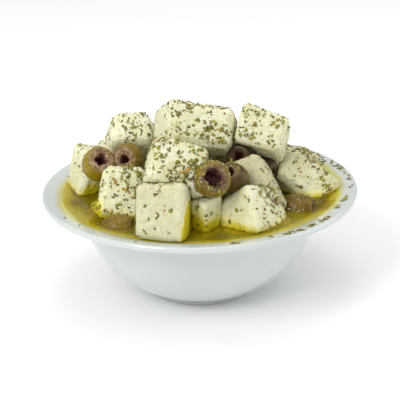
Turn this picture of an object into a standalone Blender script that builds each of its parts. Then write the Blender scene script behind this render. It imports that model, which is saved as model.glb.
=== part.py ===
"""Zaatar cheese: cubes of white cheese and pitted olives heaped in a bowl of oil.

Metres, +Z up. The origin is the middle of the bowl's foot, on the table. The
tables of pieces are in millimetres and degrees, and MM turns them to metres.
"""
import math
import random

import bmesh
import bpy
from mathutils import Euler, Matrix, Vector
from mathutils.bvhtree import BVHTree

MM = 0.001

# The bowl: (radius, height) of its outer face from the foot up to the lip.
BOWL_OUTER = ((34.3, 2.8), (47.2, 10.2), (59.4, 22.0), (67.5, 35.0), (72.2, 48.0),
              (77.2, 55.6), (85.0, 60.0), (94.6, 62.0))
BOWL_PLAIN_POINTS = 4      # of these first points, the inner face has every second one
BOWL_WALL = 3.4            # thickness of the wall and the lip
BOWL_SIDES = 44            # facets round the bowl, its oil and the room in it
FOOT_RADIUS = 34.0         # outer edge of the foot ring on the table
FOOT_RING = 3.2            # width of the ring
FOOT_RECESS = 1.6          # height of the hollow inside the ring
FOOT_BEVEL = 0.6           # slope at both edges of the ring
LIP_ROUNDING = ((1.1, -0.7), (0.9, 0.9))  # points of the lip's edge, from its middle
BOWL_FLOOR = 5.4           # height of the inner floor in the middle

OIL_LEVEL = 63.0           # height of the oil, just under the lip
OIL_EDGE = 0.5             # least thickness of the oil where it runs out on the lip
GAP = 0.32                 # air between a piece and the bowl
GROWTH = 0.36              # growth of a piece that cuts its neighbours
ROOM_HEIGHT = 160.0        # height of the free space over the lip
ROOM_OVERHANG = 60.0       # reach of that space past the lip
MERGE_DISTANCES = (0.02, 0.004, 0.001)  # tried in turn for the doubled points of a Boolean

# name: (centre, size, turn, radius of the edges, share of zaatar, seed)
CHEESE = {
    "cheese_front_block": ((-19.5, -65, 75), (25.5, 28, 30), (-16, 0, -9), 2.0, 0.5, 1),
    "cheese_middle_leaning": ((-13, -49, 92), (34, 31, 24), (46, 19, 6), 4.5, 1.3, 2),
    "cheese_top_large": ((-0.5, -11, 104), (52, 25, 26), (56, 7, 0), 3.5, 1.0, 193),
    "cheese_top_right": ((38, -9, 99), (30, 23, 28.5), (52, 14, -16), 2.5, 1.1, 68),
    "cheese_front_right": ((29.5, -51, 65), (32, 25, 26), (54, 18, 52), 2.0, 1.2, 44),
    "cheese_left_middle": ((-45.5, -29, 71), (25, 30, 26), (60, 9, -2), 3.5, 1.3, 6),
    "cheese_top_left": ((-40, 10, 93.5), (36, 24, 28), (34, -3, 2), 6.0, 1.1, 170),
    "cheese_left_edge": ((-64.5, 10, 71), (25, 30, 28), (0, 19, 27), 2.5, 0.4, 8),
    "cheese_right_edge": ((62, -5, 67), (36, 24, 22), (32, 34, -22), 3.0, 0.8, 9),
    "cheese_right_middle": ((30, -34, 74), (26, 34, 26), (50, -27, 0), 3.0, 1.2, 10),
    "cheese_front_narrow": ((2, -57, 66), (18, 19, 28), (0, -3, 48), 1.6, 0.3, 11),
    "cheese_right_back": ((60, 33, 63), (24, 24, 24), (0, 10, 20), 3.0, 0.8, 12),
    "cheese_left_tip": ((-57, -31, 59), (14, 16, 14), (10, 20, 10), 2.5, 0.0, 13),
    "cheese_core_left": ((-14, -26, 74), (30, 26, 30), (0, 0, 8), 3.0, 0.3, 14),
    "cheese_core_right": ((34, 4, 73), (30, 28, 30), (0, 0, -6), 3.0, 0.3, 15),
    "cheese_core_back": ((0, 8, 77), (34, 30, 32), (4, 0, 10), 3.0, 0.4, 16),
    "cheese_core_under_left": ((-38, 6, 62), (27, 28, 26), (0, 0, 14), 3.0, 0.3, 17),
    "cheese_back_left": ((-47, 47, 66), (30, 28, 28), (-18, 6, 32), 3.5, 0.8, 18),
    "cheese_back_middle": ((-10, 60, 68), (32, 27, 29), (-28, 4, -8), 3.5, 0.8, 19),
    "cheese_back_right": ((28, 54, 68), (28, 30, 27), (-22, -8, 24), 3.5, 0.8, 20),
    "cheese_back_upper": ((-10, 34, 82), (30, 28, 26), (-30, 6, 22), 4.5, 0.9, 21),
}
TAPERS = {"cheese_top_large": 0.3, "cheese_top_left": 0.3}  # how much narrower its upper side is
CORNER_PULL = 0.07         # greatest move of a corner, as a share of the block's size
ROUND_FROM = 4.0           # edges of a larger radius than this get more facets
CUT_DIRECTIONS = ((1, 0, 0), (0, 1, 0), (0, 0, 1))
ROUND_DIRECTIONS = CUT_DIRECTIONS + ((1, 1, 0), (1, 0, 1), (0, 1, 1), (1, 1, 1))

# name: (centre, (length, width), turn, hole radius), the hole on the piece's own +Z end
OLIVES = {
    "olive_left": ((-59, -14, 85), (24, 20), (52, 0, 20), 3.8),
    "olive_left_second": ((-41.5, -12, 87), (23, 18.5), (74, 0, -20), 3.0),
    "olive_centre": ((7, -62, 91.5), (24, 20.5), (68, 0, 10), 5.8),
    "olive_centre_second": ((19.5, -50, 87), (25, 16.5), (42, 0, -35), 3.0),
    "olive_half_sunk_left": ((-45.5, -54, 60), (23, 17), (90, 0, 80), 2.8),
    "olive_half_sunk_right": ((57, -35, 61.5), (26, 18), (90, 0, 75), 2.8),
    "olive_right_shade": ((38, -12, 77), (22, 17), (90, 0, 60), 2.8),
    "olive_top_shade": ((25, -17, 88), (22, 17), (70, 0, -20), 3.0),
    "olive_back_left": ((-30, 42, 82), (23, 18), (-60, 20, 30), 3.0),
    "olive_back_right": ((44, 32, 79), (24, 19), (-70, 0, -35), 3.2),
    "olive_half_sunk_back": ((-72, 38, 61), (23, 17), (85, 0, 40), 2.8),
}
OLIVE_SIDES = 10
OLIVE_RINGS = 5            # rings of points from the holed end to the other end
OLIVE_END = 0.75           # radius of the cut end, as a share of the olive's radius
HOLE_DEPTH = 0.55          # depth of the hole, as a share of the olive's length
HOLE_TAPER = 0.3           # the part of the hole that narrows, as a share of the length
HOLE_FLOOR = 0.7           # radius of the hole's floor, as a share of the hole's

# Zaatar: flakes fused to the cheese and to the bowl's lip.
FLAKES_PER_SQUARE = 0.0105 # flakes on one square millimetre that faces straight up
FLAKE_SIDE_SHARE = 0.15    # share of them that a face still gets that stands upright
FLAKE_LENGTH = (2.2, 3.4)
FLAKE_WIDTH = (0.55, 0.85) # width as a share of the length
FLAKE_THICK = 1.3
FLAKE_UNEVEN = 0.12        # rise and fall of a flake's rim, as a share of its thickness
FLAKE_LIFT = 0.12          # height of a flake's middle over the face, as a share of it too
FLAKE_SIDES = 5
FLAKE_SPACING = 3.4        # least distance of two flakes
FLAKE_CLEARANCE = 2.2      # least distance of a flake's middle from another piece
LIP_FLAKES = 12
LIP_FLAKE_RADII = (87.5, 92.0)
LIP_FLAKE_ANGLES = (-75.0, 40.0)

COLOURS = {
    "bowl": (0.86, 0.89, 0.88),
    "oil": (0.45, 0.40, 0.03),
    "cheese": (0.86, 0.82, 0.60),
    "olive": (0.25, 0.20, 0.06),
}
ROUGHNESS = {"bowl": 0.15, "oil": 0.08, "cheese": 0.6, "olive": 0.35}


def clear_scene():
    for thing in list(bpy.data.objects):
        bpy.data.objects.remove(thing, do_unlink=True)


def material(kind):
    """The material of one kind of piece, made once."""
    found = bpy.data.materials.get(kind)
    if found:
        return found
    made = bpy.data.materials.new(kind)
    made.use_nodes = True
    shader = made.node_tree.nodes["Principled BSDF"]
    shader.inputs["Base Color"].default_value = (*COLOURS[kind], 1.0)
    shader.inputs["Roughness"].default_value = ROUGHNESS[kind]
    shader.inputs["Metallic"].default_value = 0.0
    return made


def new_object(name, points, faces):
    """An object of one closed mesh, points in millimetres, its faces turned outward."""
    mesh = bpy.data.meshes.new(name)
    mesh.from_pydata([Vector(point) * MM for point in points], [], faces)
    thing = bpy.data.objects.new(name, mesh)
    bpy.context.scene.collection.objects.link(thing)
    face_outward(mesh)
    return thing


def face_outward(mesh):
    shape = bmesh.new()
    shape.from_mesh(mesh)
    bmesh.ops.recalc_face_normals(shape, faces=shape.faces)
    bmesh.ops.triangulate(shape, faces=shape.faces)
    if shape.calc_volume(signed=True) < 0.0:
        bmesh.ops.reverse_faces(shape, faces=shape.faces)
    shape.to_mesh(mesh)
    shape.free()


def revolved(name, outline, sides=BOWL_SIDES):
    """A solid of revolution; an outline point with no radius is a pole."""
    points = []
    rings = []
    for radius, height in outline:
        if radius == 0.0:
            rings.append([len(points)])
            points.append((0.0, 0.0, height))
            continue
        rings.append(list(range(len(points), len(points) + sides)))
        for side in range(sides):
            angle = 2.0 * math.pi * side / sides
            points.append((radius * math.cos(angle), radius * math.sin(angle), height))
    faces = []
    for lower, upper in zip(rings, rings[1:] + rings[:1]):
        faces.extend(band(lower, upper, sides))
    return new_object(name, points, faces)


def band(lower, upper, sides):
    """The faces between two rings, either of which can be a pole."""
    if len(lower) == 1 and len(upper) == 1:
        return []
    faces = []
    for side in range(sides):
        following = (side + 1) % sides
        if len(lower) == 1:
            faces.append((lower[0], upper[following], upper[side]))
        elif len(upper) == 1:
            faces.append((lower[side], lower[following], upper[0]))
        else:
            faces.append((lower[side], lower[following], upper[following], upper[side]))
    return faces


def moved_inward(curve, distance):
    """The curve moved towards the bowl's axis and up, square to itself."""
    moved = []
    for index, (radius, height) in enumerate(curve):
        before = curve[max(index - 1, 0)]
        after = curve[min(index + 1, len(curve) - 1)]
        along = Vector((after[0] - before[0], after[1] - before[1])).normalized()
        moved.append((radius - distance * along.y, height + distance * along.x))
    return moved


def bowl_inner(clearance=0.0):
    """The inner face, from the floor's edge to the lip, with fewer points under the oil."""
    inner = moved_inward(BOWL_OUTER, BOWL_WALL + clearance)
    return inner[:BOWL_PLAIN_POINTS:2] + inner[BOWL_PLAIN_POINTS:]


def make_bowl():
    ring_inside = FOOT_RADIUS - FOOT_RING
    foot = [(0.0, FOOT_RECESS), (ring_inside, FOOT_RECESS), (ring_inside + FOOT_BEVEL, 0.0),
            (FOOT_RADIUS - FOOT_BEVEL, 0.0), (FOOT_RADIUS, FOOT_BEVEL)]
    inner = bowl_inner()
    lip = Vector(BOWL_OUTER[-1]).lerp(Vector(inner[-1]), 0.5)
    rounding = [(lip.x + out, lip.y + up) for out, up in LIP_ROUNDING]
    outline = foot + list(BOWL_OUTER) + rounding + inner[::-1] + [(0.0, BOWL_FLOOR)]
    return revolved("bowl", outline)


def make_room():
    """The space that pieces may fill: inside the bowl and above its lip."""
    inner = bowl_inner(GAP)
    wide = inner[-1][0] + ROOM_OVERHANG
    outline = [(0.0, BOWL_FLOOR + GAP)] + inner + [
        (wide, inner[-1][1]), (wide, ROOM_HEIGHT), (0.0, ROOM_HEIGHT)]
    return revolved("room", outline)


def make_oil():
    """The oil up to its level, before it is cut round what stands in it."""
    inner = bowl_inner(GAP)
    under = [point for point in inner if point[1] < OIL_LEVEL - OIL_EDGE]
    first_over = inner[len(under)]
    share = (OIL_LEVEL - OIL_EDGE - under[-1][1]) / (first_over[1] - under[-1][1])
    edge = under[-1][0] + share * (first_over[0] - under[-1][0])
    outline = [(0.0, BOWL_FLOOR + GAP)] + under + [
        (edge, OIL_LEVEL - OIL_EDGE), (edge, OIL_LEVEL), (0.0, OIL_LEVEL)]
    return revolved("oil", outline)


def corner_pulls(size, seed, taper):
    """A move for each of a block's eight corners; a taper draws the upper four together."""
    draw = random.Random(seed)
    pulls = {}
    for corner in ((i, j, k) for i in (-1, 1) for j in (-1, 1) for k in (-1, 1)):
        pull = [draw.uniform(-CORNER_PULL, CORNER_PULL) * side for side in size]
        if corner[2] > 0:
            pull[0] -= corner[0] * taper * size[0] / 2.0
        pulls[corner] = pull
    return pulls


def block_points(size, radius, pulls, round_edges):
    """Points whose hull is an uneven block with cut edges, or rounder ones."""
    half = [side / 2.0 for side in size]
    points = []
    for corner, pull in pulls.items():
        core = Vector(sign * (h - radius) for sign, h in zip(corner, half))
        for direction in (ROUND_DIRECTIONS if round_edges else CUT_DIRECTIONS):
            outward = Vector(sign * share for sign, share in zip(corner, direction)).normalized()
            points.append(pulled(core + outward * radius, half, pulls))
    return points


def pulled(point, half, pulls):
    """The point moved by the pulls of the block's corners, the nearer ones more."""
    moved = point.copy()
    for corner, pull in pulls.items():
        weight = 1.0
        for axis in range(3):
            weight *= 0.5 * (1.0 + corner[axis] * point[axis] / half[axis])
        moved += weight * Vector(pull)
    return moved


def hull_object(name, points):
    """The convex solid round the points, given in millimetres."""
    mesh = bpy.data.meshes.new(name)
    shape = bmesh.new()
    for point in points:
        shape.verts.new(point * MM)
    hull = bmesh.ops.convex_hull(shape, input=shape.verts)
    inside = [item for item in hull["geom_interior"] if isinstance(item, bmesh.types.BMVert)]
    bmesh.ops.delete(shape, geom=inside, context="VERTS")
    shape.to_mesh(mesh)
    shape.free()
    thing = bpy.data.objects.new(name, mesh)
    bpy.context.scene.collection.objects.link(thing)
    face_outward(mesh)
    return thing


def make_cheese(name, growth=0.0):
    """One block of cheese; growth makes it larger all round, as much at its cut edges."""
    centre, size, turn, radius, _, seed = CHEESE[name]
    pulls = corner_pulls(size, seed, TAPERS.get(name, 0.0))
    larger = [side + 2.0 * growth for side in size]
    place = placed(centre, turn)
    points = block_points(larger, radius + growth / 2.0, pulls, radius > ROUND_FROM)
    return hull_object(name, [place @ point for point in points])


def placed(centre, turn):
    turned = Euler([math.radians(angle) for angle in turn], "XYZ").to_matrix().to_4x4()
    return Matrix.Translation(Vector(centre)) @ turned


def olive_outline(length, width, hole):
    """(radius, height) from the hole's floor out over the cut end and down the skin."""
    half = length / 2.0
    start = math.asin(OLIVE_END)
    top = half * math.cos(start)
    floor = top - HOLE_DEPTH * length
    outline = []
    if hole:
        outline += [(0.0, floor), (HOLE_FLOOR * hole, floor)]
        outline += [(hole, floor + HOLE_TAPER * length), (hole, top)]
    else:
        outline += [(0.0, top)]
    for ring in range(OLIVE_RINGS):
        angle = start + (math.pi - start) * ring / OLIVE_RINGS
        outline.append((width / 2.0 * math.sin(angle), half * math.cos(angle)))
    return outline + [(0.0, -half)]


def make_olive(name, growth=0.0):
    """One olive with its hole, or a larger one without it to cut its neighbours with."""
    centre, (length, width), turn, hole = OLIVES[name]
    outline = olive_outline(length, width, 0.0 if growth else hole)
    grown = [(radius + growth if radius else 0.0, height + math.copysign(growth, height))
             for radius, height in outline]
    olive = revolved(name, grown, OLIVE_SIDES)
    olive.data.transform(placed([value * MM for value in centre], turn))
    return olive


def combine(target, tools, operation):
    """One Boolean of the target with all the tools, applied if the result is closed."""
    group = bpy.data.collections.new("tools")
    for tool in tools:
        group.objects.link(tool)
    closed = False
    for solver in ("EXACT", "MANIFOLD"):
        modifier = target.modifiers.new("combine", "BOOLEAN")
        modifier.operand_type = "COLLECTION"
        modifier.collection = group
        modifier.operation = operation
        modifier.solver = solver
        view = bpy.context.evaluated_depsgraph_get()
        result = bpy.data.meshes.new_from_object(target.evaluated_get(view))
        target.modifiers.remove(modifier)
        closed = made_tidy(result)
        if closed:
            target.data = result
            break
    bpy.data.collections.remove(group)
    return closed


def made_tidy(mesh):
    """Join doubled points, split faces into triangles, keep the largest body; True if closed."""
    for distance in MERGE_DISTANCES:
        shape = bmesh.new()
        shape.from_mesh(mesh)
        bmesh.ops.remove_doubles(shape, verts=shape.verts, dist=distance * MM)
        bmesh.ops.dissolve_degenerate(shape, edges=shape.edges, dist=distance * MM)
        bmesh.ops.triangulate(shape, faces=shape.faces)
        bodies = loose_bodies(shape)
        largest = max(bodies, key=body_extent)
        for body in bodies:
            if body is not largest:
                bmesh.ops.delete(shape, geom=list(body), context="FACES")
        closed = all(edge.is_manifold for edge in shape.edges)
        if closed:
            shape.to_mesh(mesh)
        shape.free()
        if closed:
            return True
    return False


def loose_bodies(shape):
    """The sets of faces that hang together by their edges."""
    waiting = set(shape.faces)
    bodies = []
    while waiting:
        body = {waiting.pop()}
        front = list(body)
        while front:
            for edge in front.pop().edges:
                for face in edge.link_faces:
                    if face not in body:
                        body.add(face)
                        front.append(face)
        waiting -= body
        bodies.append(body)
    return bodies


def body_extent(body):
    """The diagonal of a body's box."""
    spots = [vertex.co for face in body for vertex in face.verts]
    low = Vector(min(spot[axis] for spot in spots) for axis in range(3))
    high = Vector(max(spot[axis] for spot in spots) for axis in range(3))
    return (high - low).length


def near(thing, other, margin=GAP * MM):
    """Whether the boxes of two pieces meet."""
    for axis in range(3):
        one = [vertex.co[axis] for vertex in thing.data.vertices]
        two = [vertex.co[axis] for vertex in other.data.vertices]
        if min(one) > max(two) + margin or min(two) > max(one) + margin:
            return False
    return True


def fit(thing, room, cutters):
    """Keep the piece in the bowl's room and clear of the pieces made before it."""
    if room and not clear_of_bowl(thing):
        combine(thing, [room], "INTERSECT")
    touching = [cutter for cutter in cutters if near(thing, cutter)]
    if touching:
        combine(thing, touching, "DIFFERENCE")


def clear_of_bowl(thing):
    """Whether the piece is all above the lip."""
    return min(vertex.co.z for vertex in thing.data.vertices) > (OIL_LEVEL + BOWL_WALL) * MM


def remove(things):
    for thing in things:
        bpy.data.objects.remove(thing, do_unlink=True)


def make_flake(spot, normal, draw):
    """A flat grain with an uneven rim, lying on a face and sunk into it a little."""
    length = draw.uniform(*FLAKE_LENGTH)
    width = length * draw.uniform(*FLAKE_WIDTH)
    points = [(0.0, 0.0, -FLAKE_THICK / 2.0), (0.0, 0.0, FLAKE_THICK / 2.0)]
    for side in range(FLAKE_SIDES):
        angle = 2.0 * math.pi * (side + draw.uniform(-0.2, 0.2)) / FLAKE_SIDES
        points.append((length / 2.0 * math.cos(angle), width / 2.0 * math.sin(angle),
                       FLAKE_THICK * draw.uniform(-FLAKE_UNEVEN, FLAKE_UNEVEN)))
    faces = []
    for side in range(FLAKE_SIDES):
        here = 2 + side
        following = 2 + (side + 1) % FLAKE_SIDES
        faces.append((1, here, following))
        faces.append((0, following, here))
    spin = Matrix.Rotation(draw.uniform(0.0, 2.0 * math.pi), 4, "Z")
    upright = normal.to_track_quat("Z", "Y").to_matrix().to_4x4()
    place = Matrix.Translation(spot / MM + FLAKE_LIFT * FLAKE_THICK * normal) @ upright @ spin
    return new_object("flake", [place @ Vector(point) for point in points], faces)


def flake_spots(thing, others, share, draw):
    """Spots for the flakes of one block: most on the faces that look up."""
    mesh = thing.data
    mesh.calc_loop_triangles()
    tree = tree_of(others)
    chosen = []
    for triangle in mesh.loop_triangles:
        up = max(triangle.normal.z, 0.0)
        exposure = FLAKE_SIDE_SHARE + (1.0 - FLAKE_SIDE_SHARE) * up
        wanted = FLAKES_PER_SQUARE * share * exposure * triangle.area / MM ** 2
        corners = [mesh.vertices[index].co for index in triangle.vertices]
        for _ in range(int(wanted + draw.random())):
            spot = random_spot(corners, draw)
            if spot.z < (OIL_LEVEL + FLAKE_CLEARANCE) * MM:
                continue
            if tree.find_nearest(spot)[3] < FLAKE_CLEARANCE * MM:
                continue
            if any((spot - other).length < FLAKE_SPACING * MM for other, _ in chosen):
                continue
            chosen.append((spot, triangle.normal.copy()))
    return chosen


def random_spot(corners, draw):
    u, v = draw.random(), draw.random()
    if u + v > 1.0:
        u, v = 1.0 - u, 1.0 - v
    return corners[0] + u * (corners[1] - corners[0]) + v * (corners[2] - corners[0])


def tree_of(things):
    points = []
    faces = []
    for thing in things:
        start = len(points)
        points.extend(vertex.co.copy() for vertex in thing.data.vertices)
        faces.extend([start + index for index in face.vertices] for face in thing.data.polygons)
    return BVHTree.FromPolygons(points, faces)


def fuse_flakes(thing, spots, draw):
    """Join flakes to the piece; where that leaves it open, fewer of them."""
    while spots:
        flakes = [make_flake(spot, normal, draw) for spot, normal in spots]
        closed = combine(thing, flakes, "UNION")
        remove(flakes)
        if closed:
            return
        spots = spots[:-1]


def lip_flake_spots(draw):
    """Spots on the lip's upper face, evenly round the side where flakes fell."""
    inner = bowl_inner()
    spots = []
    for number in range(LIP_FLAKES):
        share = (number + draw.uniform(0.2, 0.8)) / LIP_FLAKES
        low, high = LIP_FLAKE_ANGLES
        angle = math.radians(low + (high - low) * share)
        radius = draw.uniform(*LIP_FLAKE_RADII)
        for start, end in zip(inner, inner[1:]):
            if start[0] <= radius <= end[0]:
                height = start[1] + (end[1] - start[1]) * (radius - start[0]) / (end[0] - start[0])
                slope = math.atan2(end[1] - start[1], end[0] - start[0])
        facet = math.cos(math.pi / BOWL_SIDES)
        spot = Vector((radius * facet * math.cos(angle), radius * facet * math.sin(angle), height))
        normal = Vector((-math.sin(slope) * math.cos(angle), -math.sin(slope) * math.sin(angle),
                         math.cos(slope)))
        spots.append((spot * MM, normal))
    return spots


def build():
    clear_scene()
    bowl = make_bowl()
    room = make_room()
    oil = make_oil()

    cutters = []
    olives = []
    for name in OLIVES:
        olives.append(make_olive(name))
        fit(olives[-1], room, cutters)
        cutters.append(make_olive(name, GROWTH))
    blocks = []
    for name in CHEESE:
        blocks.append(make_cheese(name))
        fit(blocks[-1], room, cutters)
        cutters.append(make_cheese(name, GROWTH))
    fit(oil, None, cutters)
    remove(cutters + [room])

    draw = random.Random(7)
    pieces = [bowl, oil] + olives + blocks
    for block in blocks:
        others = [piece for piece in pieces if piece is not block and near(block, piece, 5 * MM)]
        share = CHEESE[block.name][4]
        fuse_flakes(block, flake_spots(block, others, share, draw), draw)
    fuse_flakes(bowl, lip_flake_spots(draw), draw)

    for piece in pieces:
        kind = piece.name.split("_")[0]
        piece.data.materials.clear()
        piece.data.materials.append(material(kind))


build()
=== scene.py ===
"""Zaatar cheese: the looks of the bowl, the cheese, the olives, the oil and the zaatar.

Sizes are in millimetres and degrees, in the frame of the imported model, and MM turns them
to metres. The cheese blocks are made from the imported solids; the bowl, the oil and the
olives are made finer from the sizes in part.py.
"""
import math
import random
from itertools import product

import bmesh
import bpy
import numpy as np
from mathutils import Euler, Matrix, Vector, noise
from mathutils.bvhtree import BVHTree


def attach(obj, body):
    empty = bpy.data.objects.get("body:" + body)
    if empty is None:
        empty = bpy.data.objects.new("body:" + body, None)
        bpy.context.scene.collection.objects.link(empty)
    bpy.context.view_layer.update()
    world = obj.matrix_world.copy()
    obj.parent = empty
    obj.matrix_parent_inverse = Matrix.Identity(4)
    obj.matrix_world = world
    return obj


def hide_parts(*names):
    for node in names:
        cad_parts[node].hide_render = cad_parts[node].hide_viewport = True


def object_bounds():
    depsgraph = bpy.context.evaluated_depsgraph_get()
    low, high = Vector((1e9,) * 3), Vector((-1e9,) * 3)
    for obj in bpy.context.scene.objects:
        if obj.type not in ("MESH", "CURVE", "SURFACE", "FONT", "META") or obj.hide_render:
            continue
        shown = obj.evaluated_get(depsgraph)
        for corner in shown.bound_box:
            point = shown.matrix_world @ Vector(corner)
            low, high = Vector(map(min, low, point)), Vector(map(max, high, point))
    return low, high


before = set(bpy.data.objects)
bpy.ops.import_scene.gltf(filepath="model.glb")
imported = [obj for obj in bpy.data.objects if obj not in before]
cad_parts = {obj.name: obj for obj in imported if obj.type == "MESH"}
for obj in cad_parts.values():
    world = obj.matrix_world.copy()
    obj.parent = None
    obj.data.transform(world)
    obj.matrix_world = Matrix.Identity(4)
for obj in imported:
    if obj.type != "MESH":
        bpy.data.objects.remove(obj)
CAD_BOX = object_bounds()

MM = 0.001
NO_RADIUS = 1e-6

# The camera looks along +Y and down, at a target and from a distance in metres.
CAMERA_TARGET = (0.0, 0.0, 0.055)
CAMERA_DISTANCE = 0.64
CAMERA_ELEVATION = 21.6
CAMERA_ROLL = -1.5
CAMERA_LENS = 94.0
CAMERA_SENSOR = 36.0
IMAGE_SIZE = 400  # pixels each way, from the left top corner

# The bowl, as in part.py: (radius, height) of its outer face.
BOWL_OUTER = (
    (34.3, 2.8), (47.2, 10.2), (59.4, 22.0), (67.5, 35.0), (72.2, 48.0), (77.2, 55.6),
    (85.0, 60.0), (94.6, 62.0))
BOWL_WALL = 3.4
BOWL_FLOOR = 5.4
BOWL_STEPS = 8  # points of the smooth outline for each outer point
BOWL_SIDES = 180
LIP_BULGE = 1.0
LIP_STEPS = 8
FLOOR_CURVE = 2.5  # power of the floor's rise toward the wall
# The foot ring, from the middle of the bowl outward: (radius, height).
FOOT = (
    (0.0, 1.6), (30.0, 1.6), (30.8, 1.2), (31.2, 0.25), (31.7, 0.0), (33.1, 0.0), (33.8, 0.25),
    (34.0, 0.9), (34.1, 1.9))

# The film of oil on the lip: the radius of its edge, the edge's waves (height, waves per
# millimetre), where it reaches farther (angle, how much), and how far it fades each way.
FILM_RADIUS = 85.0
FILM_WAVES = ((1.3, 0.09), (0.5, 0.4))
FILM_SPILLS = ((192.0, 3.2), (12.0, 4.0), (262.0, 1.2))
FILM_FADE_IN = 4.5
FILM_FADE_OUT = 0.8

OIL_LEVEL = 63.0
OIL_IN_WALL = 0.5  # the oil reaches this far into the bowl's wall
OIL_RINGS = 86
OIL_SIDES = 320
OIL_SWELL = ((0.1, 0.05),)  # slow waves on it: (height, waves per millimetre)
OIL_SWELL_FROM = 8.0  # how far from the wall they are full
# Its colour is half deep this far from the wall. Shade is painted on it, darker round what
# stands in it and at some spots: (x, y, reach, how much).
OIL_DEEP_FROM = 9.0
OIL_PAINTED_SHADE_RIM = 0.75
OIL_PAINTED_SHADE_WIDTH = 1.5
OIL_PAINTED_SHADE_SPOTS = (
    (72, -33, 11, 0.85), (9, -78, 8, 0.45), (-36, -64, 7, 0.25), (-66, -10, 6, 0.2),
    (-74, -19, 7, 0.55), (-61, -52, 5, 0.45))
MENISCUS_REACH = 6.0
MENISCUS_HEIGHT = 0.9
MENISCUS_WIDTH = 0.9

VOXEL = 0.7  # grid of the cheese blocks
SMOOTHING = 2
EDGE_SMOOTHING = 24  # rounds of smoothing that show where the edges are
# Relief of the cheese, from broad swells to crumbs: (height, waves per millimetre).
RELIEF_WAVES = ((0.5, 0.085), (0.3, 0.33), (0.17, 1.05))
# Pits lie round random spots, and start and are full at shares of the spots' distance.
# Cracks lie where a noise is nearly 0. Chips are broken off the edges.
PIT_DEPTH = 0.85
PIT_RATE = 0.16
PIT_FADE = (0.22, 0.05)
CRACK_DEPTH = 0.6
CRACK_WIDTH = 0.055
CRACKED_FROM = (0.05, 0.35)
CRACKED_RATE = 0.045
CHIP_DEPTH = 1.2
CHIP_WAVES = ((1.0, 0.24), (0.5, 0.7))
CHIPPED_FROM = (-0.05, 0.4)
EDGE_FROM = (0.12, 0.7)  # how far an edge stands out when chips start and are full
SUNK_EDGE = 2.5  # what is cut off the edges of a sunk block
SUNK_SEED = 300

# How uneven the height is up to which oil has soaked in (height, waves per millimetre),
# how far below and above it fades, and the share of oil in pits and cracks higher up,
# which stands for painted shade there too.
SOAK_WAVES = ((2.2, 0.18),)
SOAK_BELOW = 4.5
SOAK_ABOVE = 2.5
HOLLOW_SOAK_AND_SHADE = 0.25
# The cheese nodes, by what follows cheese_ in their names: (that height, how much higher it
# is on the side that faces +X, or -X where negative, how dull and beige, partly as painted
# shade, share of zaatar).
BLOCKS = {
    "front_block": (64.0, 19.0, 0.3, 0.12),
    "front_narrow": (70.5, -6.0, 0.05, 0.2),
    "front_right": (65.0, -5.0, 0.0, 0.6),
    "left_edge": (66.0, 11.0, 0.0, 0.15),
    "left_middle": (67.0, -9.0, 0.0, 1.0),
    "left_tip": (72.0, 0.0, 0.8, 0.1),
    "middle_leaning": (66.5, 0.0, 0.0, 0.9),
    "right_back": (66.5, 0.0, 0.3, 0.8),
    "right_edge": (66.5, 0.0, 0.24, 0.4),
    "right_middle": (66.5, 0.0, 0.62, 0.5),
    "core_right": (66.5, 0.0, 0.4, 1.0),
    "top_large": (66.5, 0.0, 0.0, 0.55),
    "top_left": (66.5, 0.0, 0.0, 0.5),
    "top_right": (66.5, 0.0, 0.0, 0.55),
}
OTHER_BLOCKS = (66.5, 0.0, 0.0, 1.0)

ZAATAR_SEED = 11
# Spots that the zaatar missed: (x, y) in pixels of the picture and radius in millimetres.
BARE_SPOTS = (
    (220, 117, 6), (160, 122, 8), (186, 119, 5), (266, 129, 5), (280, 136, 5), (254, 162, 7),
    (238, 200, 9), (250, 214, 8), (107, 197, 6), (112, 136, 7), (306, 178, 7), (288, 168, 6))
BARE_SHARE = 0.12  # of the usual density on these spots
# Flakes tried on a square millimetre that faces up. Most in the gaps of the clumps are
# left out again.
LEAVES_PER_SQUARE = 0.352
CRUMBS_PER_SQUARE = 0.736
WHITE_PER_SQUARE = 0.08
SESAME_PER_SQUARE = 0.00192
SESAME_ROUNDS = 12  # a block drawn at random in each
# Clumps: the least density, the most that is added, and the density that keeps them all.
CLUMP_LEAST = 0.16
CLUMP_ADDED = 1.7
CLUMP_FULL = 1.85
SIDE_SHARE = 0.22  # share that an upright face still gets
UNDERSIDE = -0.25  # upward part of the normal below which a face gets none
ABOVE_OIL = 0.3  # height of the lowest flake over the oil
# Flakes on the lip: between which radii and above which height, how far they spread across
# it, and (angle, radius, spread along the lip in degrees, count).
LIP_RADII = (85.5, 93.2)
LIP_LOWEST = 55.0
LIP_SPREAD = 1.0
LIP_CLUSTERS = (
    (-6, 91, 2, 5), (-19, 89, 3.5, 24), (-27, 89, 2, 12), (-38, 90.5, 2, 13), (-42, 90, 1.5, 15),
    (-48, 91, 2.5, 28), (-53, 91.5, 1.5, 20), (-58.5, 90, 3, 22), (-65, 88, 1, 6), (-79, 89, 2, 7),
    (4, 92, 4, 11), (17, 92, 6, 24), (27, 87.5, 4, 24), (31, 91, 6, 26), (48, 90, 9, 20),
    (120, 89, 60, 16), (230, 89, 20, 3))
# Flakes afloat on the oil: how many, how far out, and how far from what stands in it.
OIL_LEAVES = 60
OIL_LEAVES_RADIUS = 83.0
OIL_LEAVES_GAP = 0.9
# A place that is taken counts as this share of a flake, so that the search ends.
OIL_MISS = 0.2

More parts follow.
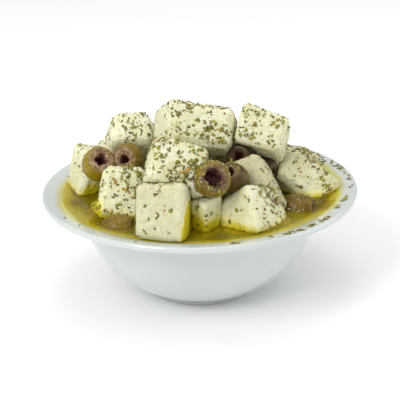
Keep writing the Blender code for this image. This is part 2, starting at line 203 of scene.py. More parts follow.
# Flakes at certain spots, by kind: (x, y) in pixels, spread in tenths of a millimetre, count.
GREEN_SPOTS = (
    (198, 120, 5, 2), (221, 140, 7, 4), (215, 124, 5, 2), (222, 130, 9, 3), (252, 137, 8, 5),
    (246, 130, 7, 3), (284, 122, 4, 2), (273, 136, 3, 1), (134, 127, 8, 5), (126, 128, 7, 3),
    (142, 125, 7, 3), (137, 135, 6, 2), (154, 139, 8, 4), (112, 122, 4, 1), (113, 171, 4, 1),
    (133, 166, 6, 2), (139, 176, 6, 2), (119, 204, 5, 2), (126, 200, 6, 2), (241, 211, 3, 1),
    (236, 211, 3, 1), (261, 187, 7, 4), (294, 163, 5, 2), (324, 180, 5, 2), (325, 196, 6, 3),
    (171, 211, 2, 1), (145, 230, 4, 1), (168, 103, 6, 2), (183, 103, 7, 3), (187, 132, 5, 2),
    (200, 152, 12, 6), (192, 152, 14, 6), (196, 160, 14, 6), (178, 163, 7, 3), (189, 163, 10, 4),
    (168, 150, 7, 3), (212, 160, 16, 10), (202, 167, 16, 9), (226, 163, 14, 7), (197, 188, 10, 4))
DARK_SPOTS = (
    (176, 112, 9, 6), (189, 107, 10, 6), (211, 115, 3, 1), (221, 109, 5, 2), (208, 129, 12, 6),
    (213, 128, 6, 3), (228, 135, 6, 3), (227, 131, 4, 2), (204, 136, 13, 9), (273, 116, 5, 2),
    (242, 127, 5, 2), (268, 141, 4, 2), (262, 104, 12, 6), (270, 108, 9, 5), (142, 114, 10, 6),
    (142, 131, 5, 2), (149, 134, 6, 3), (134, 134, 6, 2), (127, 140, 7, 4), (134, 140, 6, 3),
    (155, 195, 7, 3), (158, 191, 4, 2), (157, 214, 5, 2), (148, 219, 2, 1), (144, 206, 3, 1),
    (125, 170, 7, 3), (128, 177, 7, 3), (115, 196, 6, 3), (136, 194, 4, 1), (103, 180, 3, 1),
    (177, 178, 9, 5), (170, 178, 9, 4), (190, 176, 13, 9), (184, 180, 10, 6), (194, 168, 12, 7),
    (180, 152, 6, 3), (156, 184, 8, 3), (166, 184, 8, 3), (247, 174, 8, 4), (263, 171, 4, 2),
    (272, 189, 6, 3), (277, 197, 7, 4), (283, 206, 6, 2), (287, 215, 5, 2), (268, 222, 4, 2),
    (230, 222, 3, 1), (274, 212, 4, 1), (291, 145, 9, 6), (294, 151, 9, 5), (303, 153, 8, 4),
    (309, 160, 9, 5), (314, 166, 8, 4), (301, 187, 6, 3), (318, 170, 6, 2), (206, 103, 8, 4),
    (196, 101, 9, 4), (206, 161, 16, 14), (219, 160, 18, 14), (232, 162, 14, 10), (194, 178, 14, 12),
    (186, 183, 14, 10), (197, 168, 16, 12))
RED_SPOTS = (
    (201, 106, 7, 4), (190, 127, 5, 3), (179, 129, 8, 4), (212, 143, 5, 2), (255, 127, 6, 3),
    (265, 115, 7, 3), (248, 201, 5, 3), (257, 209, 4, 3), (275, 201, 8, 5), (115, 181, 3, 2),
    (330, 189, 7, 4), (165, 157, 3, 2), (289, 146, 6, 3), (307, 157, 6, 3), (155, 228, 4, 2),
    (138, 236, 3, 1))
SEED_SPOTS = (
    (186, 171, 3, 1), (188, 169, 4, 1), (182, 172, 3, 1), (126, 188, 3, 1), (115, 182, 2, 1),
    (203, 108, 2, 1))
WHITE_SPOTS = (
    (196, 176, 12, 9), (199, 182, 10, 7), (193, 184, 9, 5), (204, 166, 13, 5), (212, 161, 15, 4),
    (222, 160, 15, 4), (229, 163, 12, 4), (210, 188, 12, 4), (216, 184, 10, 3), (143, 153, 12, 5),
    # From here on, the crumbs on the two half-sunk olives, and the row along the right one's waterline,
    # are painted highlights.
    (300, 200, 16, 5), (290, 205, 10, 3), (112, 220, 9, 3), (285, 207, 4, 4), (288, 209, 4, 4),
    (291, 210, 4, 4), (294, 211, 4, 4), (297, 212, 4, 4), (300, 212, 4, 4), (304, 211, 5, 3))
# Broad spots of every kind, given in the same way.
BROAD_SPOTS = (
    (212, 131, 46, 48), (182, 128, 40, 18), (188, 104, 50, 22), (170, 110, 40, 12), (224, 108, 30, 6),
    (252, 132, 40, 26), (262, 108, 40, 16), (275, 122, 50, 12), (128, 126, 60, 24),
    (172, 147, 50, 26), (130, 178, 45, 16), (116, 190, 50, 16), (266, 196, 45, 24),
    (275, 188, 40, 16), (330, 168, 40, 10), (316, 172, 60, 12), (80, 170, 50, 8), (205, 216, 40, 8),
    (193, 170, 45, 22), (328, 188, 18, 22), (300, 150, 40, 12))
# name: (centre, (length, width), turn, hole radius, tone of the skin, tone of the cut end,
# share of zaatar and crumbs). A skin goes from green at 0 to purple-brown at 1, a cut end
# from pale to dark. The near-black tones of right_shade and top_shade are painted shade.
OLIVES = {
    "olive_left": ((-59, -14, 85), (24, 20), (52, 0, 20), 3.8, 0.18, 0.1, 0.2),
    "olive_left_second": ((-41.5, -12, 87), (23, 18.5), (74, 0, -20), 3.0, 0.34, 0.06, 0.5),
    "olive_centre": ((7, -62, 91.5), (24, 20.5), (68, 0, 10), 5.8, 0.3, 0.52, 2.4),
    "olive_centre_second": ((19.5, -50, 87), (25, 16.5), (42, 0, -35), 3.0, 0.58, 0.45, 1.6),
    "olive_half_sunk_left": ((-45.5, -54, 60), (23, 17), (90, 0, 80), 2.8, 0.36, 0.3, 0.12),
    "olive_half_sunk_right": ((57, -35, 61.5), (26, 18), (90, 0, 75), 2.8, 0.44, 0.3, 0.5),
    "olive_right_shade": ((38, -12, 77), (22, 17), (90, 0, 60), 2.8, 0.85, 0.8, 0.12),
    "olive_top_shade": ((25, -17, 88), (22, 17), (70, 0, -20), 3.0, 1.0, 1.0, 0.12),
    "olive_back_left": ((-30, 42, 82), (23, 18), (-60, 20, 30), 3.0, 0.15, 0.1, 0.12),
    "olive_back_right": ((44, 32, 79), (24, 19), (-70, 0, -35), 3.2, 0.4, 0.25, 0.12),
    "olive_half_sunk_back": ((-72, 38, 61), (23, 17), (85, 0, 40), 2.8, 0.2, 0.2, 0.12),
}
OLIVE_END = 0.75  # radius of the cut end as a share of the olive's
OLIVE_RINGS = 30
OLIVE_SIDES = 56
OLIVE_INSET = 0.12  # how far the skin lies inside its smooth shape
OLIVE_DENTS = ((0.3, 0.11), (0.1, 0.45))  # (height, waves per millimetre)
CUT_GRAIN = ((0.14, 1.3),)  # the same for the cut end
HOLE_DEPTH = 0.55  # as a share of the olive's length
# The torn hole: how far its lobes and tears go, as shares of the distance from its middle,
# the tears' waves per millimetre, and how far from the hole both are gone.
HOLE_LOBE = 0.1
HOLE_TEARS = ((0.28, 0.45),)
HOLE_TORN_TO = 2.5
# Gap between an olive and the bowl's wall, and which points are looked at for it.
WALL_GAP = 0.15
NEAR_WALL_HEIGHT = 70.0
NEAR_WALL_RADIUS = 55.0

# What is wholly sunk in the oil: (centre, size, turn) of blocks and olives.
SUNK_CHEESE = (
    ((-36, -38, 46), (20, 22, 20), (10, 0, 20)),
    ((4, -50, 44), (22, 20, 20), (0, 8, 30)),
    ((42, -32, 46), (20, 20, 20), (12, 0, -20)),
    ((50, 18, 46), (18, 22, 18), (0, 12, 10)),
    ((-48, 20, 46), (20, 20, 18), (8, 0, -15)),
    ((12, 46, 46), (22, 20, 20), (0, 10, 35)),
)
SUNK_OLIVES = (
    # The thin dark olives at the left and the right lie just under the surface and darken the oil there.
    ((-66, -19, 58.2), (24, 8.4), (90, 0, 28), 1.6, 0.75, 0.6),
    ((26, -52, 53), (22, 16), (85, 0, 60), 2.8, 0.5, 0.3),
    ((70, -23, 57.5), (24, 9.4), (90, 0, -24), 1.6, 0.8, 0.6),
    ((-18, 54, 52), (22, 16), (85, 0, -70), 2.8, 0.5, 0.3),
)

# Metres from here on.
FLOOR_SIZE = 6.0
LIGHT_TARGET = (0.0, 0.0, 0.06)
# name: (place, size, watts, colour)
LIGHTS = {
    "key": ((-0.9, -1.05, 1.08), 0.8, 14.0, (1.0, 0.995, 0.98)),
    "side": ((1.5, -0.1, 0.45), 1.2, 6.0, (0.98, 0.99, 1.0)),
    "top": ((0.0, 0.3, 1.7), 0.9, 3.0, (1.0, 1.0, 1.0)),
}
# The sky's brightness by the height (0 at the horizon, 1 overhead), by the side (0 on the
# camera's, 1 opposite), and in all.
SKY_BY_HEIGHT = ((0.0, 0.42), (0.35, 0.44), (0.75, 1.0))
SKY_BY_SIDE = ((0.0, 0.82), (0.55, 1.0))
SKY_STRENGTH = 1.03


# ---- meshes

def link(thing):
    bpy.context.scene.collection.objects.link(thing)
    return thing


def mesh_object(name, points, faces):
    """A new smooth object from points in metres."""
    mesh = bpy.data.meshes.new(name)
    mesh.from_pydata([tuple(point) for point in points], [], faces)
    mesh.shade_smooth()
    return link(bpy.data.objects.new(name, mesh))


def object_from(shape, name):
    """A new object from a bmesh, which is freed."""
    mesh = bpy.data.meshes.new(name)
    shape.to_mesh(mesh)
    shape.free()
    return link(bpy.data.objects.new(name, mesh))


def smooth_out(thing, rounds):
    """Smooth a mesh, after the modifiers that it has."""
    worn = thing.modifiers.new("worn", "SMOOTH")
    worn.factor = 0.5
    worn.iterations = rounds
    view = bpy.context.evaluated_depsgraph_get()
    result = bpy.data.meshes.new_from_object(thing.evaluated_get(view))
    thing.modifiers.clear()
    thing.data = result


def curve_through(points, steps):
    """A smooth curve (Catmull-Rom) through the points."""
    padded = [points[0], *points, points[-1]]
    curve = []
    for before, start, end, after in zip(padded, padded[1:], padded[2:], padded[3:]):
        for step in range(steps):
            t = step / steps
            curve.append(tuple(
                0.5 * (2 * b + (c - a) * t + (2 * a - 5 * b + 4 * c - d) * t ** 2
                       + (3 * b - a - 3 * c + d) * t ** 3)
                for a, b, c, d in zip(before, start, end, after)))
    return curve + [points[-1]]


def moved_inward(curve, distance):
    """The curve moved to its left."""
    moved = []
    for index, (radius, height) in enumerate(curve):
        before = curve[max(index - 1, 0)]
        after = curve[min(index + 1, len(curve) - 1)]
        along = Vector((after[0] - before[0], after[1] - before[1])).normalized()
        moved.append((radius - distance * along.y, height + distance * along.x))
    return moved


def in_wall(depth):
    """The bowl's outer face as an outline, moved into its wall."""
    return moved_inward(curve_through(BOWL_OUTER, BOWL_STEPS), depth)


def skin(rings, sides):
    """Faces between each ring of points and the next, where a pole is a ring of one."""
    faces = []
    for lower, upper in zip(rings, rings[1:]):
        for side in range(sides):
            following = (side + 1) % sides
            corners = (lower[side % len(lower)], lower[following % len(lower)],
                       upper[following % len(upper)], upper[side % len(upper)])
            faces.append(tuple(dict.fromkeys(corners)))
    return faces


def turned(outline, sides):
    """Points and faces of an outline turned about Z. A point of no radius is a pole."""
    points = []
    rings = []
    for radius, height in outline:
        count = sides if radius > NO_RADIUS else 1
        rings.append(range(len(points), len(points) + count))
        for side in range(count):
            angle = math.tau * side / sides
            points.append((radius * math.cos(angle), radius * math.sin(angle), height))
    return points, skin(rings, sides)


def revolved(name, outline, sides):
    """A closed object from an outline of (radius, height) in millimetres."""
    thing = mesh_object(name, *turned([(radius * MM, height * MM) for radius, height in outline], sides))
    turn_outward(thing.data)
    return thing


def turn_outward(mesh):
    shape = bmesh.new()
    shape.from_mesh(mesh)
    bmesh.ops.recalc_face_normals(shape, faces=shape.faces)
    if shape.calc_volume(signed=True) < 0.0:
        bmesh.ops.reverse_faces(shape, faces=shape.faces)
    shape.to_mesh(mesh)
    shape.free()


def placed(centre, turn):
    """The place of a thing by its centre and its turns about X, Y and Z."""
    spin = Euler([math.radians(angle) for angle in turn], "XYZ").to_matrix().to_4x4()
    return Matrix.Translation(Vector(centre) * MM) @ spin


def smooth_step(low, high, value):
    """From 0 at low to 1 at high, where low can be the larger."""
    share = min(max((value - low) / (high - low), 0.0), 1.0)
    return share * share * (3.0 - 2.0 * share)


def waves(point, table, shift=Vector()):
    """The sum of the noises of a table at a point: each a (height, waves per millimetre)."""
    return sum(height * noise.noise(point * rate + shift) for height, rate in table)


def set_attribute(mesh, name, values):
    """A number for each point, which the materials read by name."""
    attribute = mesh.attributes.new(name=name, type="FLOAT", domain="POINT")
    attribute.data.foreach_set("value", values)


# ---- materials

def new_material(name):
    material = bpy.data.materials.new(name)
    material.use_nodes = True
    tree = material.node_tree
    return material, tree, tree.nodes["Principled BSDF"]


def feed(tree, value, socket):
    """Give a socket what it takes: another socket, a colour or a number."""
    if isinstance(value, bpy.types.NodeSocket):
        tree.links.new(value, socket)
    elif socket.type == "RGBA":
        socket.default_value = (*value, 1.0)
    else:
        socket.default_value = value


def set_inputs(tree, node, **values):
    """Feed a node's sockets, named with _ for a space."""
    for name, value in values.items():
        feed(tree, value, node.inputs[name.replace("_", " ")])


def new_node(tree, kind, **values):
    node = tree.nodes.new(kind)
    set_inputs(tree, node, **values)
    return node


def noise_value(tree, scale, detail, roughness=0.5, distortion=0.0, stretch=(1.0, 1.0, 1.0)):
    """Noise between 0 and 1 over the object's own coordinates, scale in waves per metre."""
    place = new_node(tree, "ShaderNodeTexCoord").outputs["Object"]
    mapping = new_node(tree, "ShaderNodeMapping", Vector=place, Scale=stretch)
    texture = new_node(tree, "ShaderNodeTexNoise", Vector=mapping.outputs["Vector"], Scale=scale,
                       Detail=detail, Roughness=roughness, Distortion=distortion)
    return texture.outputs["Fac"]


def cell_value(tree, scale):
    """Distance to the nearest of scattered spots, scale in spots per metre."""
    place = new_node(tree, "ShaderNodeTexCoord").outputs["Object"]
    return new_node(tree, "ShaderNodeTexVoronoi", Vector=place, Scale=scale).outputs["Distance"]


def ramp(tree, source, *stops):
    """Colours by a value, each stop a (value, colour)."""
    node = new_node(tree, "ShaderNodeValToRGB", Fac=source)
    elements = node.color_ramp.elements
    while len(elements) < len(stops):
        elements.new(0.5)
    for element, (position, colour) in zip(elements, stops):
        element.position = position
        element.color = (*colour, 1.0)
    return node.outputs["Color"]


def greys(tree, source, *stops):
    """Greys by a value, each stop a (value, grey)."""
    return ramp(tree, source, *((position, (grey, grey, grey)) for position, grey in stops))


def mixed(tree, factor, first, second, blend="MIX"):
    """A mix of two colours."""
    node = tree.nodes.new("ShaderNodeMix")
    node.data_type = "RGBA"
    node.blend_type = blend
    for index, value in ((0, factor), (6, first), (7, second)):
        feed(tree, value, node.inputs[index])
    return node.outputs[2]


def times(tree, first, second):
    return mixed(tree, 1.0, first, second, "MULTIPLY")


def math_node(tree, operation, first, second):
    node = tree.nodes.new("ShaderNodeMath")
    node.operation = operation
    feed(tree, first, node.inputs[0])
    feed(tree, second, node.inputs[1])
    return node.outputs["Value"]


def point_value(tree, name):
    node = tree.nodes.new("ShaderNodeAttribute")
    node.attribute_name = name
    return node.outputs["Fac"]


def add_bump(tree, shader, height, strength, distance):
    bump = new_node(tree, "ShaderNodeBump", Height=height, Strength=strength, Distance=distance * MM)
    set_inputs(tree, shader, Normal=bump.outputs["Normal"])


def glaze_material():
    """White glazed ceramic with a faint green-blue cast, yellow under the film of oil."""
    material, tree, shader = new_material("white_glaze")
    patches = noise_value(tree, 22.0, 2.0)
    specks = noise_value(tree, 900.0, 2.0)
    base = ramp(tree, patches, (0.35, (0.565, 0.614, 0.592)), (0.65, (0.605, 0.648, 0.628)))
    clean = times(tree, base, greys(tree, specks, (0.3, 0.985), (0.7, 1.0)))
    oily = ramp(tree, patches, (0.3, (0.55, 0.495, 0.075)), (0.7, (0.62, 0.58, 0.12)))
    set_inputs(tree, shader, Base_Color=mixed(tree, point_value(tree, "film"), clean, oily),
               Roughness=greys(tree, patches, (0.3, 0.1), (0.7, 0.2)),
               Coat_Weight=0.5, Coat_Roughness=0.06)
    add_bump(tree, shader, noise_value(tree, 160.0, 2.0), 0.12, 0.25)
    return material


def cheese_material():
    """Moist white cheese, creamy in patches, soaked yellow with oil near the oil's level, and dull and
    beige on some blocks, partly as painted shade.
    """
    material, tree, shader = new_material("white_cheese")
    patches = noise_value(tree, 85.0, 3.0, 0.55)
    crumbs = noise_value(tree, 900.0, 4.0, 0.6)
    fibres = noise_value(tree, 620.0, 3.0, 0.6, 0.4, (1.0, 1.0, 0.22))
    cream = ramp(tree, patches, (0.34, (0.705, 0.682, 0.41)), (0.5, (0.765, 0.752, 0.5)),
                 (0.68, (0.825, 0.817, 0.6)))
    damp = greys(tree, noise_value(tree, 190.0, 3.0, 0.6), (0.54, 0.0), (0.68, 0.55))
    stained = mixed(tree, damp, cream, (0.72, 0.71, 0.33))
    # Dull and beige on some blocks: partly their own tone, partly painted shade.
    stained = mixed(tree, point_value(tree, "beige_and_shade"), stained, (0.43, 0.39, 0.22))
    crumbled = greys(tree, crumbs, (0.34, 0.86), (0.56, 1.0))
    frayed = greys(tree, fibres, (0.36, 0.94), (0.52, 1.0))
    dry = times(tree, stained, times(tree, crumbled, frayed))
    soak_and_shade = point_value(tree, "soak_and_shade")
    # The soak value holds painted shade in pits and cracks as well as oil.
    half_wet = mixed(tree, greys(tree, soak_and_shade, (0.0, 0.0), (0.45, 1.0)), dry, (0.8, 0.755, 0.33))
    full = ramp(tree, patches, (0.3, (0.56, 0.475, 0.007)), (0.7, (0.72, 0.64, 0.018)))
    # The same share darkens the soaked colour, partly as painted shade.
    full = mixed(tree, point_value(tree, "beige_and_shade"), full, (0.34, 0.26, 0.006))
    whole = mixed(tree, greys(tree, soak_and_shade, (0.45, 0.0), (1.0, 1.0)), half_wet, full)
    set_inputs(tree, shader, Base_Color=whole,
               Roughness=greys(tree, patches, (0.35, 0.34), (0.65, 0.55)),
               Subsurface_Weight=0.4, Subsurface_Radius=(1.0, 0.85, 0.5),
               Subsurface_Scale=0.003, Specular_IOR_Level=0.35)
    pits = greys(tree, cell_value(tree, 420.0), (0.06, 0.0), (0.3, 1.0))
    height = mixed(tree, 0.35, mixed(tree, 0.35, crumbs, fibres), pits)
    add_bump(tree, shader, height, 0.7, 0.5)
    return material


def olive_material():
    """Olive skin by tone, the paler flesh of the cut end, and the dark hole of the stone."""
    material, tree, shader = new_material("olive_flesh")
    mottle = noise_value(tree, 150.0, 4.0, 0.6)
    speckle = noise_value(tree, 520.0, 4.0, 0.65)
    uneven = math_node(tree, "MULTIPLY", mottle, 0.6)
    tone = math_node(tree, "ADD", point_value(tree, "tone"), uneven)
    # Its darkest end serves mostly the olives in shade, as painted shade.
    skin_tone = ramp(tree, tone, (0.25, (0.39, 0.29, 0.01)), (0.5, (0.285, 0.195, 0.012)),
                     (0.75, (0.165, 0.104, 0.018)), (1.0, (0.06, 0.032, 0.016)))
    grime = greys(tree, noise_value(tree, 420.0, 4.0, 0.65), (0.36, 0.68), (0.56, 1.0))
    pale = ramp(tree, speckle, (0.36, (0.135, 0.078, 0.036)), (0.52, (0.29, 0.188, 0.095)),
                (0.7, (0.56, 0.43, 0.26)))
    # The dark flesh at a cut tone near 1, on the olives in shade, is painted shade.
    flesh = mixed(tree, point_value(tree, "cut_tone"), pale, (0.062, 0.034, 0.014))
    body = mixed(tree, point_value(tree, "flesh"), times(tree, skin_tone, grime), flesh)
    inside = ramp(tree, speckle, (0.42, (0.1, 0.026, 0.048)), (0.66, (0.44, 0.21, 0.18)))
    set_inputs(tree, shader, Base_Color=mixed(tree, point_value(tree, "hole"), body, inside),
               Roughness=greys(tree, mottle, (0.3, 0.2), (0.7, 0.42)),
               Coat_Weight=0.05, Coat_Roughness=0.06, Specular_IOR_Level=0.16,
               Subsurface_Weight=0.08, Subsurface_Radius=(1.0, 0.6, 0.3), Subsurface_Scale=0.002)
    add_bump(tree, shader, mixed(tree, 0.5, mottle, speckle), 0.35, 0.4)
    return material


def oil_material():
    """Clear olive oil: pale at the wall, deep yellow-green farther in, and brown where shade is painted
    in the gaps and at some spots.
    """
    material, tree, shader = new_material("olive_oil")
    # A depth above a half is painted shade, and the brown at 1 is the colour of that painted shade.
    tint = ramp(tree, point_value(tree, "depth"), (0.0, (0.985, 0.965, 0.6)),
                (0.2, (0.95, 0.86, 0.16)), (0.5, (0.94, 0.82, 0.03)), (1.0, (0.48, 0.36, 0.008)))
    set_inputs(tree, shader, Base_Color=tint, Specular_IOR_Level=0.12, Roughness=0.02, IOR=1.28,
               Transmission_Weight=0.8)
    depth = new_node(tree, "ShaderNodeVolumeAbsorption", Color=(0.986, 0.955, 0.0), Density=420.0)
    set_inputs(tree, tree.nodes["Material Output"], Volume=depth.outputs["Volume"])
    return material


def herb_material(name, dark, light, roughness=0.75):
    """Dry herb: the colour changes from flake to flake, with fine grain on each."""
    material, tree, shader = new_material(name)
    between = noise_value(tree, 330.0, 2.0, 0.7)
    grain = noise_value(tree, 2500.0, 2.0)
    colour = ramp(tree, between, (0.36, dark), (0.64, light))
    colour = times(tree, colour, greys(tree, grain, (0.3, 0.7), (0.7, 1.0)))
    uneven = greys(tree, grain, (0.3, roughness - 0.1), (0.7, roughness + 0.1))
    set_inputs(tree, shader, Base_Color=colour, Roughness=uneven)
    add_bump(tree, shader, grain, 0.4, 0.15)
    return material


def floor_material():
    material, tree, shader = new_material("pale_floor")
    tone = greys(tree, noise_value(tree, 1.5, 2.0), (0.3, 0.965), (0.7, 0.98))
    set_inputs(tree, shader, Base_Color=tone, Roughness=0.7)
    return material


# ---- bowl

def film_at(point):
    """How much oil clings to the glaze at a point of the bowl's inside."""
    edge = FILM_RADIUS + waves(point, FILM_WAVES)
    for angle, reach in FILM_SPILLS:
        away = math.atan2(point.y, point.x) - math.radians(angle)
        edge += reach * max(math.cos(away), 0.0) ** 2
    return 1.0 - smooth_step(edge - FILM_FADE_IN, edge + FILM_FADE_OUT, math.hypot(point.x, point.y))


def make_bowl(material):
    outer = curve_through(BOWL_OUTER, BOWL_STEPS)
    inner = moved_inward(outer, BOWL_WALL)
    middle = Vector(outer[-1]).lerp(Vector(inner[-1]), 0.5)
    half = (Vector(inner[-1]) - Vector(outer[-1])) / 2.0
    outward = Vector((half.y, -half.x)).normalized() * LIP_BULGE
    lip = []
    for step in range(1, LIP_STEPS):
        angle = math.pi * (step / LIP_STEPS - 0.5)
        lip.append(tuple(middle + half * math.sin(angle) + outward * math.cos(angle)))
    radius, height = inner[0]
    floor = [(radius * share, BOWL_FLOOR + (height - BOWL_FLOOR) * share ** FLOOR_CURVE)
             for share in (0.8, 0.6, 0.4, 0.2, 0.0)]
    outside = [*FOOT, *outer, *lip]
    bowl = revolved("serving_bowl", outside + inner[::-1] + floor, BOWL_SIDES)
    # Only the inside has a film. The outside starts with a pole of one point.
    first = 1 + BOWL_SIDES * (len(outside) - 1)
    film = [film_at(vertex.co / MM) for vertex in bowl.data.vertices[first:]]
    set_attribute(bowl.data, "film", [0.0] * first + film)
    bowl.data.materials.append(material)
    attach(bowl, "root")
    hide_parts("bowl")


# ---- cheese

def edge_wear(block):
    """How far each point stands out of a much smoother copy of the block, in millimetres."""
    soft = link(bpy.data.objects.new("soft", block.data.copy()))
    smooth_out(soft, EDGE_SMOOTHING)
    wear = [(vertex.co - smooth.co).dot(vertex.normal) / MM
            for vertex, smooth in zip(block.data.vertices, soft.data.vertices)]
    bpy.data.objects.remove(soft)
    return wear


def relief(spot, wear):
    """Height of the cheese's surface, and how deep a pit or a crack is there."""
    pit = PIT_DEPTH * smooth_step(*PIT_FADE, noise.voronoi(spot * PIT_RATE)[0][0])
    seam = abs(noise.noise(spot * 0.07 + Vector((0, 0, 9))) + 0.25 * noise.noise(spot * 0.3))
    cracked = smooth_step(*CRACKED_FROM, noise.noise(spot * CRACKED_RATE))
    crack = CRACK_DEPTH * cracked * smooth_step(CRACK_WIDTH, 0.0, seam)
    chipped = smooth_step(*CHIPPED_FROM, waves(spot, CHIP_WAVES))
    chip = CHIP_DEPTH * smooth_step(*EDGE_FROM, wear) * chipped
    return waves(spot, RELIEF_WAVES) - pit - crack - chip, pit + crack


def crumble(block, seed, soak_height, soak_side):
    """Move the points by the relief and note how far the oil has soaked in, with painted shade in the
    pits and cracks.
    """
    draw = random.Random(seed)
    shift = Vector([draw.uniform(-500.0, 500.0) for _ in range(3)])
    mesh = block.data
    wear = edge_wear(block)
    soak_and_shade_values = []
    normals = [vertex.normal.copy() for vertex in mesh.vertices]
    for vertex, normal, worn in zip(mesh.vertices, normals, wear):
        point = vertex.co / MM
        height, hollow = relief(point + shift, worn)
        vertex.co += normal * height * MM
        edge = soak_height + waves(point + shift, SOAK_WAVES) + max(normal.x * soak_side, 0.0)
        # Oil in pits and cracks, which also stands for painted shade in them.
        oil_and_shade_in_hollow = HOLLOW_SOAK_AND_SHADE * smooth_step(0.25, 0.8, hollow)
        soak_and_shade_values.append(max(smooth_step(edge + SOAK_ABOVE, edge - SOAK_BELOW, point.z), oil_and_shade_in_hollow))
    set_attribute(mesh, "soak_and_shade", soak_and_shade_values)
    mesh.update()


def finish_block(block, seed, facts, material):
    """Put the block on an even grid, wear and crumble it and give it its material."""
    grid = block.modifiers.new("grid", "REMESH")
    grid.mode = "VOXEL"
    grid.voxel_size = VOXEL * MM
    smooth_out(block, SMOOTHING)
    soak_height, soak_side, beige_and_shade_share, _ = facts
    crumble(block, seed, soak_height, soak_side)
    # How dull and beige the block is, partly painted shade.
    set_attribute(block.data, "beige_and_shade", [beige_and_shade_share] * len(block.data.vertices))
    block.data.materials.clear()
    block.data.materials.append(material)
    block.data.shade_smooth()
    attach(block, "root")


def make_block(node, seed, material):
    """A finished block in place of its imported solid."""
    shape = bmesh.new()
    shape.from_mesh(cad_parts[node].data)
    bmesh.ops.remove_doubles(shape, verts=shape.verts, dist=1e-6)
    block = object_from(shape, node.replace("cheese", "block"))
    finish_block(block, seed, BLOCKS.get(node.removeprefix("cheese_"), OTHER_BLOCKS), material)
    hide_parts(node)
    return block


def make_sunk_block(number, centre, size, turn, material):
    """A block that lies under the oil, with edges cut off before they are worn."""
    shape = bmesh.new()
    for corner in product((-1, 1), repeat=3):
        for axis in range(3):
            point = [corner[i] * (size[i] / 2.0 - (0.0 if i == axis else SUNK_EDGE)) * MM
                     for i in range(3)]
            shape.verts.new(placed(centre, turn) @ Vector(point))
    bmesh.ops.convex_hull(shape, input=shape.verts)
    block = object_from(shape, "sunk_block_%d" % number)
    finish_block(block, SUNK_SEED + number, OTHER_BLOCKS, material)


# ---- olives

def olive_outline(length, width, hole):
    """(radius, height, flesh, hole) from the hole's floor to the far end of the skin."""
    half = length / 2.0
    start = math.asin(OLIVE_END)
    top = half * math.cos(start)
    end_radius = width / 2.0 * OLIVE_END
    floor = top - HOLE_DEPTH * length
    outline = [(0.0, floor, 1.0, 1.0)]
    for step in range(1, 10):
        share = step / 10.0
        radius = hole * (0.6 + 0.4 * share ** 0.5)
        height = floor + (top - 0.9 - floor) * share
        outline.append((radius, height, 1.0, smooth_step(1.25, 0.55, share)))
    for step in range(4):
        share = step / 3.0
        radius = hole + (end_radius - 1.0 - hole) * share
        height = top - 0.55 + 0.45 * math.sin(math.pi / 2.0 * share)
        outline.append((radius, height, 1.0, 0.12 * (1.0 - share)))
    outline.append((end_radius - 0.35, top - 0.12, 0.8, 0.0))
    for ring in range(1, OLIVE_RINGS):
        angle = start + (math.pi - start) * (ring - 0.4) / OLIVE_RINGS
        flesh = 0.5 if ring == 1 else 0.0
        outline.append((width / 2.0 * math.sin(angle), half * math.cos(angle), flesh, 0.0))
    return outline + [(0.0, -half, 0.0, 0.0)]


def kept_in_bowl(point, inner):
    """The point, or where it would be pressed to by the bowl's wall, in millimetres."""
    spot = Vector((math.hypot(point.x, point.y), point.z))
    nearest = None
    for start, end in zip(inner, inner[1:]):
        along = Vector(end) - Vector(start)
        share = (spot - Vector(start)).dot(along) / along.length_squared
        foot = Vector(start) + along * min(max(share, 0.0), 1.0)
        if nearest is None or (spot - foot).length < nearest[0]:
            nearest = ((spot - foot).length, foot, Vector((-along.y, along.x)).normalized())
    _, foot, inward = nearest
    if (spot - foot).dot(inward) >= WALL_GAP:
        return point
    pressed = foot + inward * WALL_GAP
    return Vector((point.x * pressed.x / spot.x, point.y * pressed.x / spot.x, pressed.y))


def make_olive(name, centre, dimensions, turn, hole, tone, cut_tone, material):
    length, width = dimensions
    outline = olive_outline(length, width, hole)
    olive = revolved(name, [point[:2] for point in outline], OLIVE_SIDES)
    mesh = olive.data
    flesh = []
    in_hole = []
    for radius, _, flesh_share, hole_share in outline:
        count = OLIVE_SIDES if radius > 0.0 else 1
        flesh.extend([flesh_share] * count)
        in_hole.extend([hole_share] * count)
    draw = random.Random(name)
    shift = Vector([draw.uniform(-400.0, 400.0) for _ in range(3)])
    phase = draw.uniform(0.0, math.pi)
    lobes = draw.choice((2, 3, 4))
    for vertex, cut in zip(mesh.vertices, flesh):
        point = vertex.co / MM
        flat = Vector((point.x, point.y, 0.0))
        tear = HOLE_LOBE * math.cos(lobes * math.atan2(point.y, point.x) + phase)
        tear += waves(point, HOLE_TEARS, shift)
        tear *= cut * (1.0 - smooth_step(hole, hole + HOLE_TORN_TO, flat.length))
        dent = waves(point, OLIVE_DENTS, shift) + cut * waves(point, CUT_GRAIN, shift)
        vertex.co += flat * tear * MM + point.normalized() * (dent - OLIVE_INSET) * MM
    mesh.transform(placed(centre, turn))
    inner = in_wall(BOWL_WALL)
    for vertex in mesh.vertices:
        if vertex.co.z < NEAR_WALL_HEIGHT * MM and vertex.co.xy.length > NEAR_WALL_RADIUS * MM:
            vertex.co = kept_in_bowl(vertex.co / MM, inner) * MM
    set_attribute(mesh, "flesh", flesh)
    set_attribute(mesh, "hole", in_hole)
    set_attribute(mesh, "tone", [tone] * len(mesh.vertices))
    set_attribute(mesh, "cut_tone", [cut_tone] * len(mesh.vertices))
    mesh.update()
    mesh.materials.append(material)
    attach(olive, "root")
    return olive


# ---- oil

def tree_of(things):
    """A search tree of the things' faces."""
    points = []
    faces = []
    for thing in things:
        start = len(points)
        points.extend(vertex.co.copy() for vertex in thing.data.vertices)
        faces.extend([start + index for index in face.vertices] for face in thing.data.polygons)
    return BVHTree.FromPolygons(points, faces)


